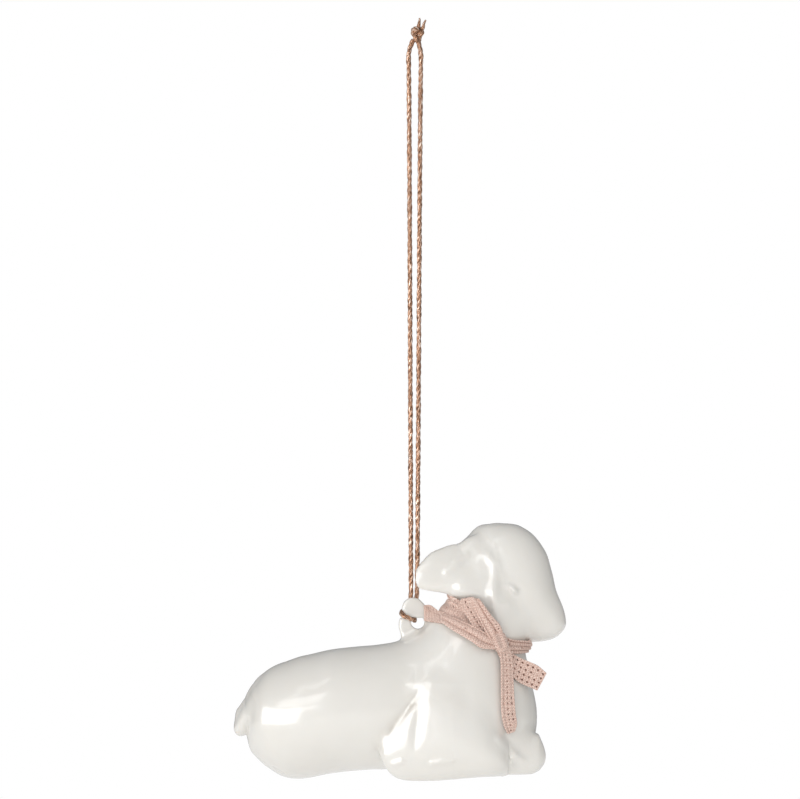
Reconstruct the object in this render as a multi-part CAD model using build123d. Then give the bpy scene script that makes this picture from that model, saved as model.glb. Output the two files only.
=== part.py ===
from build123d import *
import os
from math import cos, pi, radians, sin, sqrt, tan

# A glazed porcelain lamb that hangs level from a doubled cord, with a knitted ribbon bow at its neck.
# Millimetres. The origin is the inner top of the cord loop, where a hook or twig carries it.
# +Z is up, +X is the way the lamb looks, and the bow is on the -Y side.

# Hanging cord
cord_diameter = 1.0
cord_drop = 109.2
flex_radius = 1.6
flex_clearance = 0.15
cord_clearance = 0.2
knot_height = 4.0
knot_width = 2.9
knot_end_width = 1.7
knot_lean = 0.7
knot_base = 0.8
tail_rise = 2.0
tail_spread = 1.5
tail_lean = 0.8

# Body casting
body_length = 58.0
body_height = 27.3
body_width = 27.6
body_behind = 33.6
back_drop = 9.4
porcelain_wall = 2.2
rump_wall = 4.2
vent_diameter = 3.0

# Neck and the seam where the head casting is stuck on
neck_lean = 26.0
neck_depth = 17.4
neck_width = 16.8
neck_ahead = 14.4
neck_drop = 6.1

# Head casting
head_length = 26.8
head_depth = 16.8
head_width = 15.6
head_pitch = 52.8
head_ahead = 17.6
head_rise = 6.6
head_wall = 1.8

# Ears
ear_length = 14.2
ear_depth = 9.2
ear_thickness = 2.8
ear_droop = 11.3
ear_splay = 8.0
ear_ahead = 14.2
ear_rise = 5.8
ear_spacing = 12.8

# Folded forelegs
forearm_length = 25.4
forearm_depth = 10.6
forearm_width = 8.4
forearm_spacing = 18.6
forearm_behind = 6.8
forearm_base = 0.6
hoof_length = 15.4
hoof_depth = 8.2
hoof_width = 7.2
hoof_spacing = 9.4
hoof_ahead = 10.8
hoof_base = 0.7

# Tail
tail_length = 13.0
tail_width = 7.0
tail_thickness = 4.4
tail_slope = 60.4
tail_behind = 31.9
tail_above_belly = 14.4

# Hanging eyelet
eyelet_thickness = 3.0
eyelet_lobe_radius = 2.2
eyelet_lobe_behind = 0.2
eyelet_lobe_drop = 2.9
eyelet_ring_radius = 3.8
eyelet_ring_drop = 6.2
eyelet_hole_radius = 1.35
eyelet_hole_ahead = 0.74
eyelet_hole_drop = 5.6
eyelet_waist_radius = 0.8
eyelet_waist_behind = 2.75
eyelet_waist_drop = 4.0
eyelet_rim_round = 0.9
eyelet_root_depth = 5.6

# Ribbon
ribbon_width = 4.9
ribbon_thickness = 0.6
ribbon_gather = 3.2
collar_thickness = 1.0
ribbon_clearance = 0.3
bow_knot_width = 3.2
bow_knot_height = 3.8
bow_knot_depth = 2.4
bow_knot_round = 1.0
bow_knot_ahead = 16.6
bow_knot_drop = 9.2
bow_turn = 27.0
back_loop_length = 14.8
back_loop_angle = 158.0
upper_loop_length = 9.4
upper_loop_angle = 117.0
long_tail_length = 17.8
long_tail_angle = -84.0
side_tail_length = 13.0
side_tail_angle = -50.9
side_tail_slant = 14.5
loop_opening = 1.2
loop_root_width = 2.6
back_loop_width = 3.4
back_loop_standoff = 5.6
upper_loop_width = 4.4

# Along the body from rump to chest: place, top and bottom above the belly, half width
body_shares = [
    (0.000, 0.524, 0.348, 0.14),
    (0.014, 0.612, 0.209, 0.38),
    (0.038, 0.707, 0.143, 0.59),
    (0.076, 0.791, 0.073, 0.79),
    (0.131, 0.846, 0.006, 0.93),
    (0.203, 0.895, -0.006, 1.00),
    (0.306, 0.942, 0.034, 0.98),
    (0.426, 0.967, 0.070, 0.93),
    (0.546, 0.996, 0.055, 0.92),
    (0.667, 1.000, 0.055, 0.94),
    (0.787, 0.963, 0.062, 0.90),
    (0.883, 0.890, 0.084, 0.76),
    (0.949, 0.795, 0.128, 0.58),
    (0.986, 0.656, 0.231, 0.34),
    (1.000, 0.538, 0.348, 0.15),
]

# Up the neck from inside the body to inside the head: place, half depth, half width
neck_shares = [
    (-0.69, 1.42, 1.36),
    (-0.29, 1.26, 1.22),
    (0.00, 1.00, 1.00),
    (0.29, 0.86, 0.84),
    (0.52, 0.68, 0.72),
]

# Down the head from crown to nose: place, forehead side, jaw side, half width
head_shares = [
    (-0.306, 0.071, -0.095, 0.21),
    (-0.284, 0.131, -0.167, 0.37),
    (-0.224, 0.274, -0.286, 0.59),
    (-0.127, 0.423, -0.381, 0.82),
    (0.000, 0.488, -0.452, 0.96),
    (0.134, 0.482, -0.488, 1.00),
    (0.284, 0.399, -0.500, 0.91),
    (0.433, 0.295, -0.488, 0.77),
    (0.552, 0.244, -0.387, 0.64),
    (0.634, 0.185, -0.256, 0.50),
    (0.679, 0.119, -0.131, 0.33),
    (0.694, 0.048, -0.060, 0.15),
]

# Out along the ear from head to tip: place, middle, half depth, half thickness
ear_shares = [
    (0.00, 0.020, 0.480, 0.50),
    (0.39, 0.040, 0.500, 0.50),
    (0.56, 0.065, 0.460, 0.48),
    (0.69, 0.065, 0.410, 0.42),
    (0.86, 0.030, 0.290, 0.32),
    (0.96, -0.004, 0.190, 0.22),
    (1.00, -0.060, 0.070, 0.10),
]

# Along a leg or tail from its hidden end to its tip: place, top, bottom, half width
forearm_shares = [
    (0.00, 0.44, 0.28, 0.12),
    (0.04, 0.66, 0.19, 0.50),
    (0.14, 0.86, 0.08, 0.84),
    (0.32, 0.98, 0.01, 1.00),
    (0.58, 1.00, 0.02, 0.98),
    (0.80, 0.90, 0.06, 0.82),
    (0.94, 0.72, 0.14, 0.54),
    (1.00, 0.50, 0.30, 0.14),
]
hoof_shares = [
    (0.00, 0.90, 0.20, 0.70),
    (0.30, 1.00, 0.04, 1.00),
    (0.60, 1.00, 0.00, 0.94),
    (0.80, 1.00, 0.01, 0.80),
    (0.91, 0.97, 0.09, 0.62),
    (0.96, 0.79, 0.19, 0.40),
    (1.00, 0.56, 0.34, 0.12),
]
tail_shares = [
    (0.00, 0.30, -0.30, 0.50),
    (0.25, 0.46, -0.46, 0.86),
    (0.60, 0.50, -0.50, 1.00),
    (0.85, 0.40, -0.40, 0.76),
    (0.96, 0.24, -0.24, 0.44),
    (1.00, 0.09, -0.09, 0.16),
]

# Along a bow loop or tail from the knot: place, lift off the glaze, and for a tail its width
loop_shares = [
    (0.12, 1.10),
    (0.50, 1.50),
    (0.86, 1.40),
    (1.00, 0.80),
    (0.86, 0.15),
    (0.50, 0.00),
    (0.12, 0.10),
]
long_tail_shares = [
    (0.08, 0.90, 0.30),
    (0.25, 0.50, 0.34),
    (0.45, 0.15, 0.44),
    (0.70, 0.15, 0.58),
    (1.00, 0.15, 0.70),
]
side_tail_shares = [
    (0.12, 0.90, 0.50),
    (0.30, 0.80, 0.80),
    (0.55, 0.50, 1.00),
    (0.80, 0.20, 1.00),
    (1.00, 0.00, 0.98),
]

# The cord's route from the knot down the left strand, through the eyelet and back up: x, y, z
cord_route = [
    (-0.1, 0.0, 1.6),
    (-1.2, 0.0, -0.3),
    (-0.95, 0.1, -4.5),
    (-0.6, 2.1, -107.5),
    (-0.6, 2.2, -110.9),
    (-2.5, 2.2, -112.9),
    (-2.5, -2.2, -113.3),
    (0.1, -2.2, -114.5),
    (0.1, 2.2, -114.4),
    (0.5, 2.2, -110.6),
    (0.7, 2.1, -107.0),
    (1.28, 0.1, -4.8),
    (1.5, 0.0, -0.5),
    (0.7, 0.0, 1.6),
]

SIDEWAYS = Vector(0, 1, 0)
FORWARD = Vector(1, 0, 0)
pivot_z = -cord_drop
floor_z = pivot_z - back_drop - body_height
flex_y = (eyelet_thickness + cord_diameter) / 2 + cord_clearance


def ellipse(center, normal, half_width, half_height):
    """An elliptical section across the way the piece runs, its width along Y."""
    return Plane(origin=center, x_dir=SIDEWAYS, z_dir=normal) * Ellipse(half_width, half_height)


def inset(value, wall):
    """A half size with the wall taken off, never less than the wall's own half."""
    return max(value - wall, min(value, wall) / 2)


def body_sections(wall=0.0):
    """The body's sections, or its cavity's where a wall is given."""
    start = -body_behind + (rump_wall if wall else 0)
    length = body_length - (rump_wall + wall if wall else 0)
    sections = []
    for place, top, bottom, width in body_shares:
        half_height = (top - bottom) * body_height / 2
        middle_z = floor_z + (top + bottom) * body_height / 2
        half_width = width * body_width / 2
        center = Vector(start + place * length, 0, middle_z)
        sections.append(ellipse(center, FORWARD, inset(half_width, wall), inset(half_height, wall)))
    return sections


def neck_sections(first, last, wall=0.0):
    """The neck's sections from one row of its shares to another."""
    axis = Vector(sin(radians(neck_lean)), 0, cos(radians(neck_lean)))
    seam = Vector(neck_ahead, 0, pivot_z - neck_drop)
    sections = []
    for place, depth, width in neck_shares[first : last + 1]:
        half_depth = depth * neck_depth / 2 - wall
        half_width = width * neck_width / 2 - wall
        sections.append(ellipse(seam + axis * (place * neck_depth), axis, half_width, half_depth))
    return sections


def head_frame():
    """The middle of the skull, the way the face points down, and the way the forehead faces."""
    pitch = radians(head_pitch)
    skull = Vector(head_ahead, 0, pivot_z + head_rise)
    return skull, Vector(cos(pitch), 0, -sin(pitch)), Vector(sin(pitch), 0, cos(pitch))


def head_sections(wall=0.0):
    """The head's sections, or its cavity's where a wall is given."""
    skull, down, front = head_frame()
    squeeze = 1 - 2 * wall / head_length
    sections = []
    for place, brow, jaw, width in head_shares:
        half_depth = (brow - jaw) * head_depth / 2
        middle = (brow + jaw) * head_depth / 2
        center = skull + down * (place * head_length * squeeze) + front * middle
        half_width = width * head_width / 2
        sections.append(ellipse(center, down, inset(half_width, wall), inset(half_depth, wall)))
    return sections


def lengthwise(shares, start, length, base_z, height, middle_y, width):
    """A rounded piece that lies along X, from a table of shares."""
    sections = []
    for place, top, bottom, half in shares:
        center = Vector(start + place * length, middle_y, base_z + (top + bottom) * height / 2)
        sections.append(ellipse(center, FORWARD, half * width / 2, (top - bottom) * height / 2))
    return loft(sections)


def forelegs():
    """Both folded forelegs: a forearm and a hoof on each side."""
    pieces = []
    for side in (-1, 1):
        base_z = floor_z - forearm_base
        y = side * forearm_spacing / 2
        forearm = lengthwise(
            forearm_shares, -forearm_behind, forearm_length, base_z, forearm_depth, y, forearm_width
        )
        base_z = floor_z + hoof_base
        y = side * hoof_spacing / 2
        hoof = lengthwise(hoof_shares, hoof_ahead, hoof_length, base_z, hoof_depth, y, hoof_width)
        pieces += [forearm, hoof]
    return pieces


def tail():
    """The short tail pressed against the rump."""
    slope = radians(tail_slope)
    axis = Vector(-cos(slope), 0, -sin(slope))
    root_z = floor_z + tail_above_belly + tail_length * sin(slope) / 2
    root = Vector(-tail_behind + tail_length * cos(slope) / 2, 0, root_z)
    sections = []
    for place, outer, inner, half in tail_shares:
        center = root + axis * (place * tail_length)
        sections.append(ellipse(center, axis, half * tail_width / 2, (outer - inner) * tail_thickness / 2))
    return loft(sections)


def vent():
    """The air hole under the belly that lets the hollow casting fire."""
    middle_x = -body_behind + body_length / 2
    return Pos(middle_x, 0, floor_z) * Cylinder(vent_diameter / 2, body_height)


def outer_body():
    solid = loft(body_sections())
    for piece in [loft(neck_sections(0, 2))] + forelegs() + [tail()]:
        solid = solid + piece
    return solid


def body_casting(outer):
    """The hollow body with its forelegs and tail, open at the neck seam and at the air hole."""
    solid = outer - loft(body_sections(porcelain_wall))
    solid = solid - loft(neck_sections(0, 2, porcelain_wall))
    return solid - vent()


def outer_head():
    return loft(head_sections()) + loft(neck_sections(2, 4))


def head_casting(outer, body):
    """The hollow head, open to the body's hollow at the seam."""
    solid = outer - body
    solid = solid - loft(head_sections(head_wall))
    return solid - loft(neck_sections(2, 3, porcelain_wall))


def ear(side, head):
    """One ear, cut to sit on the side of the head."""
    droop = radians(ear_droop)
    splay = radians(ear_splay)
    axis = Vector(-cos(droop) * cos(splay), side * sin(splay), -sin(droop) * cos(splay))
    across = axis.cross(Vector(-sin(droop), 0, cos(droop))).normalized()
    root = Vector(ear_ahead, side * ear_spacing / 2, pivot_z + ear_rise)
    lift = across.cross(axis)
    sections = []
    for place, middle, depth, thickness in ear_shares:
        center = root + axis * (place * ear_length) + lift * (middle * ear_depth)
        plane = Plane(origin=center, x_dir=across, z_dir=axis)
        sections.append(plane * Ellipse(thickness * ear_thickness, depth * ear_depth))
    return loft(sections) - head


def hanging_eyelet(body):
    """The flat lug at the withers: a lobe over a ring, with a waist where the cord lies."""
    hole_z = pivot_z - eyelet_hole_drop
    lobe = Pos(-eyelet_lobe_behind, pivot_z - eyelet_lobe_drop) * Circle(eyelet_lobe_radius)
    ring_z = pivot_z - eyelet_ring_drop
    ring = Pos(eyelet_hole_ahead, ring_z) * Circle(eyelet_ring_radius)
    outline = make_hull(lobe.edges() + ring.edges())
    solid = extrude(Plane.XZ * outline, eyelet_thickness / 2, both=True)
    rim = min(eyelet_rim_round, eyelet_thickness / 3)
    face_edges = [edge for edge in solid.edges() if abs(edge.center().Y) > eyelet_thickness / 2 - rim / 2]
    solid = fillet(face_edges, rim)
    root_width = 2 * (eyelet_ring_radius - rim / 2)
    root = Pos(eyelet_hole_ahead, ring_z - eyelet_root_depth / 2) * Rectangle(root_width, eyelet_root_depth)
    solid = solid + extrude(Plane.XZ * root, (eyelet_thickness - rim) / 2, both=True)
    waist = Pos(-eyelet_waist_behind, pivot_z - eyelet_waist_drop) * Circle(eyelet_waist_radius)
    hole = Pos(eyelet_hole_ahead, hole_z) * Circle(eyelet_hole_radius)
    for opening in (waist, hole):
        solid = solid - extrude(Plane.XZ * opening, eyelet_thickness, both=True)
    return solid - body


def between(rows, place):
    """A row of shares read between its neighbours, or None past the ends."""
    for low, high in zip(rows, rows[1:]):
        if low[0] <= place <= high[0]:
            part = (place - low[0]) / (high[0] - low[0])
            return [a + part * (b - a) for a, b in zip(low[1:], high[1:])]
    return None


def half_across(offset, half_height, half_width):
    """Half the width of an ellipse at a height from its middle."""
    share = 1 - (offset / half_height) ** 2
    return half_width * sqrt(share) if share > 0 else 0.0


def near_side(x, z):
    """How far the glaze stands from the middle plane at a place on the near side."""
    reach = [0.0]
    row = between(body_shares, (x + body_behind) / body_length)
    if row:
        top, bottom, width = row
        middle_z = floor_z + (top + bottom) * body_height / 2
        reach.append(half_across(z - middle_z, (top - bottom) * body_height / 2, width * body_width / 2))
    lean = radians(neck_lean)
    dx = x - neck_ahead
    dz = z - pivot_z + neck_drop
    row = between(neck_shares, (dx * sin(lean) + dz * cos(lean)) / neck_depth)
    if row:
        offset = dx * cos(lean) - dz * sin(lean)
        reach.append(half_across(offset, row[0] * neck_depth / 2, row[1] * neck_width / 2))
    skull, down, front = head_frame()
    away = Vector(x, 0, z) - skull
    row = between(head_shares, away.dot(down) / head_length)
    if row:
        brow, jaw, width = row
        offset = away.dot(front) - (brow + jaw) * head_depth / 2
        reach.append(half_across(offset, (brow - jaw) * head_depth / 2, width * head_width / 2))
    return max(reach)


def over_glaze(along, lift, angle, floor):
    """The middle of the ribbon's thickness at a place on a stretch that leaves the knot at an angle."""
    x = bow_knot_ahead + along * cos(radians(angle))
    z = pivot_z - bow_knot_drop + along * sin(radians(angle))
    reach = max(near_side(x, z), floor) + ribbon_clearance + ribbon_thickness / 2
    return Vector(x, -reach - lift * loop_opening, z)


def tail_strip(shares, length, angle, floor, slant=0.0):
    """A bow tail: places along it with their lift and width, and a slanted cut end."""
    points = [over_glaze(along * length, lift, angle, floor) for along, lift, _ in shares]
    sections = []
    for index, (_, _, width) in enumerate(shares):
        turned = radians(angle + (slant if index == len(points) - 1 else 0))
        across = Vector(-sin(turned), 0, cos(turned))
        heading = points[min(index + 1, len(points) - 1)] - points[max(index - 1, 0)]
        plane = Plane(origin=points[index], x_dir=across, z_dir=heading - across * heading.dot(across))
        sections.append(plane * Rectangle(width * ribbon_width, ribbon_thickness))
    return loft(sections, ruled=True)


def bow_loop(length, angle, floor, end_width):
    """A bow loop: out along the front layer, round its end and back behind, drawn in at the knot."""
    points = []
    for along, lift in loop_shares:
        point = over_glaze(along * length, lift, angle, floor)
        points.append(Vector(along * length, collar_thickness - point.Y))
    outer = []
    inner = []
    for index, point in enumerate(points):
        heading = points[min(index + 1, len(points) - 1)] - points[max(index - 1, 0)]
        square = Vector(-heading.Y, heading.X).normalized() * (ribbon_thickness / 2)
        outer.append(point + square)
        inner.append(point - square)
    turned = radians(angle)
    root = Vector(bow_knot_ahead, 0, pivot_z - bow_knot_drop)
    along_loop = Vector(cos(turned), 0, sin(turned))
    layers = Plane(origin=root, x_dir=along_loop, z_dir=along_loop.cross(-SIDEWAYS))
    band = layers * make_face(Polyline(*outer, *reversed(inner), close=True))
    solid = extrude(band, end_width / 2, both=True)
    facing = Plane(origin=root, x_dir=along_loop, z_dir=-SIDEWAYS)
    corners = [
        (0, loop_root_width / 2),
        (2 * length, end_width - loop_root_width / 2),
        (2 * length, loop_root_width / 2 - end_width),
        (0, -loop_root_width / 2),
    ]
    drawn_in = extrude(facing * make_face(Polyline(*corners, close=True)), body_width, both=True)
    return solid & drawn_in


def collar():
    """The ribbon round the neck, over the seam between the two castings."""
    lean = radians(neck_lean)
    axis = Vector(sin(lean), 0, cos(lean))
    seam = Vector(neck_ahead, 0, pivot_z - neck_drop)
    shells = []
    for gap in (ribbon_clearance + collar_thickness, ribbon_clearance):
        sections = []
        for end in (-1, 1):
            step = end * ribbon_gather / 2
            depth, width = between(neck_shares, step / neck_depth)
            half_width = width * neck_width / 2 + gap
            half_depth = depth * neck_depth / 2 + gap
            sections.append(ellipse(seam + axis * step, axis, half_width, half_depth))
        shells.append(loft(sections))
    return shells[0] - shells[1]


def bow_knot():
    """The bow's knot, a short rounded wrap over the collar."""
    y = -(neck_width / 2 + ribbon_clearance + collar_thickness + bow_knot_depth / 2)
    block = Box(bow_knot_width, bow_knot_depth, bow_knot_height)
    block = fillet(block.edges(), bow_knot_round)
    return Pos(bow_knot_ahead, y, pivot_z - bow_knot_drop) * Rot(0, bow_turn, 0) * block


def ribbon_pieces(porcelain):
    """Each stretch of the one ribbon, clear of the glaze and of the stretches under it."""
    neck = neck_width / 2
    side_tail = tail_strip(side_tail_shares, side_tail_length, side_tail_angle, neck, side_tail_slant)
    pieces = {
        "bow_knot": bow_knot(),
        "ribbon_collar": collar(),
        "bow_loop_back": bow_loop(back_loop_length, back_loop_angle, back_loop_standoff, back_loop_width),
        "bow_loop_upper": bow_loop(upper_loop_length, upper_loop_angle, neck, upper_loop_width),
        "bow_tail_long": tail_strip(long_tail_shares, long_tail_length, long_tail_angle, neck),
        "bow_tail_side": side_tail,
    }
    done = {}
    for name, piece in pieces.items():
        for other in list(done.values()) + porcelain:
            piece = piece - other
        done[name] = piece
    return done


def cord_tube():
    """The whole cord as one tube, with each corner as wide as its two runs allow."""
    points = [Vector(*point) for point in cord_route]
    radii = []
    for before, point, after in zip(points, points[1:], points[2:]):
        arriving = point - before
        leaving = after - point
        turn = radians(arriving.get_angle(leaving))
        radii.append(0.45 * min(arriving.length, leaving.length) / tan(turn / 2))
    print("cord corner radii", [round(radius, 2) for radius in radii])
    path = FilletPolyline(*points, radius=radii)
    tube = sweep(Plane(origin=path @ 0, z_dir=path % 0) * Circle(cord_diameter / 2), path=path)
    plain_volume = pi * cord_diameter**2 / 4 * path.length
    print("cord length", round(path.length, 2))
    print("cord volume over section times length", round(tube.volume / plain_volume, 4))
    return tube


def cord_pieces():
    """The strands above the flexing place, the turn through the eyelet, the knot and its ends."""
    tube = cord_tube()
    pivot = Pos(0, flex_y, pivot_z)
    above = pivot * Pos(0, 0, cord_drop) * Box(2 * cord_drop, 2 * cord_drop, 2 * cord_drop)
    rounded = pivot * Rot(90, 0, 0) * Cylinder(flex_radius, 2 * eyelet_thickness)
    cleared = pivot * Rot(90, 0, 0) * Cylinder(flex_radius + flex_clearance, 2 * eyelet_thickness)
    knot_rings = []
    rings = 5
    for index in range(rings):
        share = index / (rings - 1)
        radius = (knot_end_width + (knot_width - knot_end_width) * sin(pi * share)) / 2
        knot_rings.append(Pos(knot_lean, 0, knot_base + share * knot_height) * Circle(radius))
    knot = loft(knot_rings)
    ends = []
    for side in (-1, 1):
        foot_x = knot_lean + side * tail_spread / 4
        tip_x = knot_lean + tail_lean + side * tail_spread / 2
        foot = Vector(foot_x, 0, knot_base + knot_height * 3 / 4)
        way = Vector(tip_x, 0, knot_base + knot_height + tail_rise / 2) - foot
        plane = Plane(origin=foot, z_dir=way)
        ends.append(Solid.make_cylinder(cord_diameter / 2, way.length, plane))
    return {
        "cord_strands": (tube & (above + rounded)) - knot,
        "cord_hitch": tube - above - cleared,
        "cord_knot": knot,
        "cord_ends": Part() + [end - knot for end in ends],
    }


outer = outer_body()
outer_skull = outer_head()
eyelet = hanging_eyelet(outer)
pieces = {
    "body_casting": body_casting(outer),
    "head_casting": head_casting(outer_skull, outer),
    "ear_near": ear(-1, outer_skull),
    "ear_far": ear(1, outer_skull),
    "hanging_eyelet": eyelet,
}
pieces.update(ribbon_pieces([outer, outer_skull, eyelet]))
pieces.update(cord_pieces())

os.makedirs("parts", exist_ok=True)
for name, piece in pieces.items():
    print(name, "solids", len(piece.solids()), "volume", round(piece.volume, 1), "valid", piece.is_valid)
    export_step(piece, f"parts/{name}.step")
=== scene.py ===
from math import cos, pi, radians, sin, sqrt, tan

import bpy
import numpy as np
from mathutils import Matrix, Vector


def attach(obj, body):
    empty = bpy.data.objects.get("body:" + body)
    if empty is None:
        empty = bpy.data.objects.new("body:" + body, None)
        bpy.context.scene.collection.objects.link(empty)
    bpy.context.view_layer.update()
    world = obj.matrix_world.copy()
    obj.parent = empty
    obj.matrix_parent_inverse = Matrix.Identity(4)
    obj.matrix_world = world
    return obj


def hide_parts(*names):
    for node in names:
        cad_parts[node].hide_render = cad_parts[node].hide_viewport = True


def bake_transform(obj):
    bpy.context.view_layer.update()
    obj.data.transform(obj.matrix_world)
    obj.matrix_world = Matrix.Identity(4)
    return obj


# A glazed porcelain lamb that hangs from a doubled metallic thread, with a knitted ribbon bow.
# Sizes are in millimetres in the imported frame, and MM makes metres of them.

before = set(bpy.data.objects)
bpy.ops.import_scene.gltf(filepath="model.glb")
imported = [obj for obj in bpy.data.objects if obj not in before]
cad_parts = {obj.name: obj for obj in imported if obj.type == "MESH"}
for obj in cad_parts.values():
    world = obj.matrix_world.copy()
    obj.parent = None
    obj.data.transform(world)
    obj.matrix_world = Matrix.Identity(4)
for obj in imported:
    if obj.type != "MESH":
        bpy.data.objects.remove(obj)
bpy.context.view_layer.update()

scene = bpy.context.scene
MM = 0.001
PIXEL = 0.2
ORIGIN_PIXEL = (414, 48)
PHOTO_SIZE = (800, 799)

# The hinge in the eyelet, and the level that the body's heights start from
PIVOT = np.array([0.0, 2.2, -109.2])
BASE_Z = -145.9


def photo_x(pixel):
    """Where a column of the photograph lies along X."""
    return (pixel - ORIGIN_PIXEL[0]) * PIXEL


def photo_z(pixel):
    """Where a row of the photograph lies along Z."""
    return (ORIGIN_PIXEL[1] - pixel) * PIXEL


# Camera

CAMERA_DISTANCE = 2500.0
camera = bpy.data.cameras.new("camera")
camera.sensor_width = 36.0
camera.lens = camera.sensor_width * CAMERA_DISTANCE / (PHOTO_SIZE[0] * PIXEL)
camera.clip_start = 0.1
camera.clip_end = 10.0
camera_object = bpy.data.objects.new("camera", camera)
camera_object.location = Vector(
    (photo_x(PHOTO_SIZE[0] / 2), -CAMERA_DISTANCE, photo_z(PHOTO_SIZE[1] / 2))
) * MM
camera_object.rotation_euler = (pi / 2, 0, 0)
scene.collection.objects.link(camera_object)
scene.camera = camera_object


# Mesh helpers

def mesh_object(name, points, faces, material, uv=None):
    """A smooth mesh object from points in millimetres."""
    mesh = bpy.data.meshes.new(name)
    mesh.from_pydata((np.asarray(points, float) * MM).tolist(), [], [list(f) for f in faces])
    mesh.polygons.foreach_set("use_smooth", [True] * len(mesh.polygons))
    if uv is not None:
        layer = mesh.uv_layers.new(name="lengthwise")
        corner = np.zeros(len(mesh.loops), np.int32)
        mesh.loops.foreach_get("vertex_index", corner)
        layer.data.foreach_set("uv", np.asarray(uv, float)[corner].astype(np.float32).ravel())
    mesh.validate()
    mesh.update()
    mesh.materials.append(material)
    made = bpy.data.objects.new(name, mesh)
    scene.collection.objects.link(made)
    return made


def write_attribute(made, name, values):
    """A value at each point for the material."""
    layer = made.data.attributes.new(name, "FLOAT", "POINT")
    layer.data.foreach_set("value", values.astype(np.float32))


def lengths_along(line):
    """How far along a line each point lies."""
    return np.concatenate([[0.0], np.cumsum(np.linalg.norm(np.diff(line, axis=0), axis=1))])


# Material helpers

WHITE = (1.0, 1.0, 1.0, 1.0)


def feed(node, inputs):
    """Links or sets a node's inputs."""
    links = node.id_data.links
    for key, value in inputs.items():
        if isinstance(value, bpy.types.NodeSocket):
            links.new(value, node.inputs[key])
        else:
            node.inputs[key].default_value = value


def node_adder(tree):
    """A call that adds nodes to a tree."""

    def add(kind, inputs=None, **settings):
        node = tree.nodes.new("ShaderNode" + kind)
        for name, value in settings.items():
            setattr(node, name, value)
        feed(node, inputs or {})
        return node

    return add


def new_material(name):
    """A material, its tree, its shader and a node adder."""
    material = bpy.data.materials.new(name)
    material.use_nodes = True
    tree = material.node_tree
    return material, tree, tree.nodes["Principled BSDF"], node_adder(tree)


def noise(add, place, scale, detail):
    """A noise texture's grey value."""
    return add("TexNoise", {"Vector": place, "Scale": scale, "Detail": detail}).outputs["Fac"]


def ramp(add, factor, stops):
    """A colour ramp, each stop a place and a colour."""
    node = add("ValToRGB", {"Fac": factor})
    elements = node.color_ramp.elements
    while len(elements) < len(stops):
        elements.new(0.5)
    for element, (place, colour) in zip(elements, stops):
        element.position = place
        element.color = (*colour, 1.0)
    return node.outputs["Color"]


def mixed(add, factor, one, two, **settings):
    """One colour mixed with another by a factor."""
    node = add("Mix", {"Factor": factor, "A": one, "B": two}, data_type="RGBA", **settings)
    return node.outputs["Result"]


def bumped(add, height, strength, distance):
    """The surface's direction, tilted by a height."""
    return add("Bump", {"Height": height, "Strength": strength, "Distance": distance}).outputs["Normal"]


def mapped(add, value, start, end):
    """A value mapped from one range to another."""
    names = ("From Min", "From Max", "To Min", "To Max")
    return add("MapRange", {"Value": value, **dict(zip(names, start + end))}).outputs["Result"]


# Materials

GLAZE_TINTS = [(0.35, (0.790, 0.768, 0.722)), (0.65, (0.812, 0.794, 0.752))]
# Darker, warmer glaze colour mixed in where pieces meet: partly pooled glaze, partly painted shade.
GLAZE_POOLED_SHADE = (0.60, 0.555, 0.49, 1.0)

# Thread colour by noise: the dark end is painted shade and the pale end painted glints on copper.
THREAD_GLINT_TINTS = [
    (0.37, (0.07, 0.03, 0.014)),
    (0.47, (0.36, 0.185, 0.105)),
    (0.56, (0.62, 0.36, 0.235)),
    (0.65, (1.0, 0.86, 0.75)),
]

# Knit colour by stitch height: the darker low end is painted shade in the gaps between stitches.
KNIT_GAP_SHADE_TINTS = [
    (0.05, (0.46, 0.27, 0.215)),
    (0.35, (0.72, 0.495, 0.415)),
    (0.65, (0.81, 0.60, 0.515)),
    (0.95, (0.92, 0.78, 0.695)),
]
# Dark colour of the back layer seen through the holes: painted shade.
KNIT_BACK_SHADE = (0.30, 0.165, 0.125, 1.0)
STITCH_HALF_WIDTH, STITCH_SLANT, STITCH_PITCH = 0.275, 1.3, 0.58
FIBRE_SHARE = 6.0


def porcelain_material():
    """Ivory porcelain under a clear glaze, darker and warmer in creases: partly glaze pooling, partly
    painted shade.
    """
    material, _, shader, add = new_material("ivory_glaze")
    place = add("TexCoord").outputs["Object"]
    tint = ramp(add, noise(add, place, 90.0, 3.0), GLAZE_TINTS)
    # The crease mask: painted shade and glaze pooling where the pieces meet.
    pooled_shade = add("Attribute", attribute_name="crevice_shade").outputs["Fac"]
    normal = bumped(add, noise(add, place, 220.0, 2.0), 0.12, 0.0002)
    rough = mapped(add, noise(add, place, 60.0, 1.0), (0.0, 1.0), (0.24, 0.34))
    feed(shader, {
        "Base Color": mixed(add, pooled_shade, tint, GLAZE_POOLED_SHADE),
        "Normal": normal,
        "Coat Normal": normal,
        "Roughness": rough,
        "Subsurface Weight": 0.15,
        "Subsurface Radius": (1.0, 0.85, 0.7),
        "Subsurface Scale": 0.001,
        "IOR": 1.45,
        "Coat Weight": 1.0,
        "Coat Roughness": 0.11,
        "Coat IOR": 1.55,
    })
    return material


def thread_material():
    """Rose-gold yarn, its colour painted from dark shade through copper to pale pink glints along its
    fine filaments.
    """
    material, _, shader, add = new_material("rose_gold_thread")
    place = add("TexCoord").outputs["UV"]
    wide = add("Mapping", {"Vector": place, "Scale": (3.0, 0.8, 1.0)}).outputs["Vector"]
    fine = add("Mapping", {"Vector": place, "Scale": (14.0, 0.9, 1.0)}).outputs["Vector"]
    glints, filaments = noise(add, wide, 1.0, 3.0), noise(add, fine, 1.0, 2.0)
    feed(shader, {
        "Base Color": ramp(add, glints, THREAD_GLINT_TINTS),
        "Normal": bumped(add, filaments, 0.7, 0.00012),
        "Metallic": 0.75,
        "Roughness": mapped(add, glints, (0.0, 1.0), (0.5, 0.22)),
    })
    return material


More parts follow.
